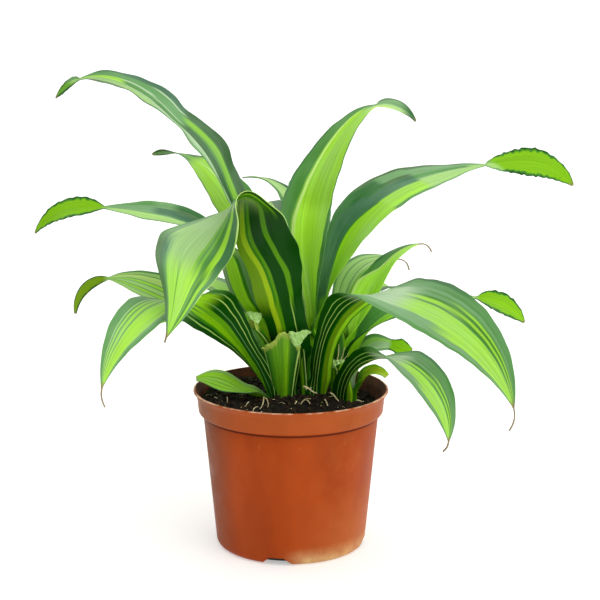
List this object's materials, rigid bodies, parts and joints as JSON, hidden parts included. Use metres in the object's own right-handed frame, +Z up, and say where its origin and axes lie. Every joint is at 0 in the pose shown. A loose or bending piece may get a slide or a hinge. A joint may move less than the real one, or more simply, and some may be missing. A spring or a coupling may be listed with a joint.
{
  "type": "potted dracaena",
  "caption": "House plant with long arching striped leaves on short shoots, standing in potting mix in a round tapered plastic nursery pot.",
  "frame": {"origin": "middle of the flat underside that the pot stands on", "axes": "+Z up along the pot's axis, -Y towards the plant's front, +X to its right seen from the front"},
  "size_m": [0.392, 0.3202, 0.3372],
  "materials": {
    "pot": "terracotta-coloured moulded plastic with a low sheen",
    "soil": "dark crumbly potting mix, matt",
    "shoot": "smooth green leaf sheaths with a soft sheen",
    "torn": "olive green sheath with a pale torn edge",
    "leaf": "smooth leaf, dark green margins and lime stripes, soft sheen"
  },
  "bodies": {
    "root": {"pot": "pot", "soil": "soil", "shoot_a_stem": "shoot", "shoot_b_stem": "shoot", "shoot_c_stem": "shoot", "torn_sheath_front": "torn", "torn_sheath_left": "torn", "torn_sheath_middle": "torn", "torn_sheath_right": "torn", "leaf_upper_left_arch": "leaf", "leaf_left_back": "leaf", "leaf_left_level": "leaf", "leaf_folded_front": "leaf", "leaf_centre_upright": "leaf", "leaf_upper_right": "leaf", "leaf_right_arch": "leaf", "leaf_right_upright": "leaf", "leaf_right_low": "leaf", "leaf_right_back": "leaf", "leaf_front_right": "leaf", "leaf_right_short": "leaf", "leaf_rim_right": "leaf", "leaf_front_left": "leaf", "leaf_left_middle": "leaf", "leaf_rim_left": "leaf", "leaf_back_curled": "leaf", "leaf_far_1": "leaf", "leaf_far_2": "leaf", "leaf_far_3": "leaf", "leaf_far_4": "leaf", "leaf_far_5": "leaf", "leaf_far_6": "leaf", "leaf_far_7": "leaf"}
  },
  "joints": []
}
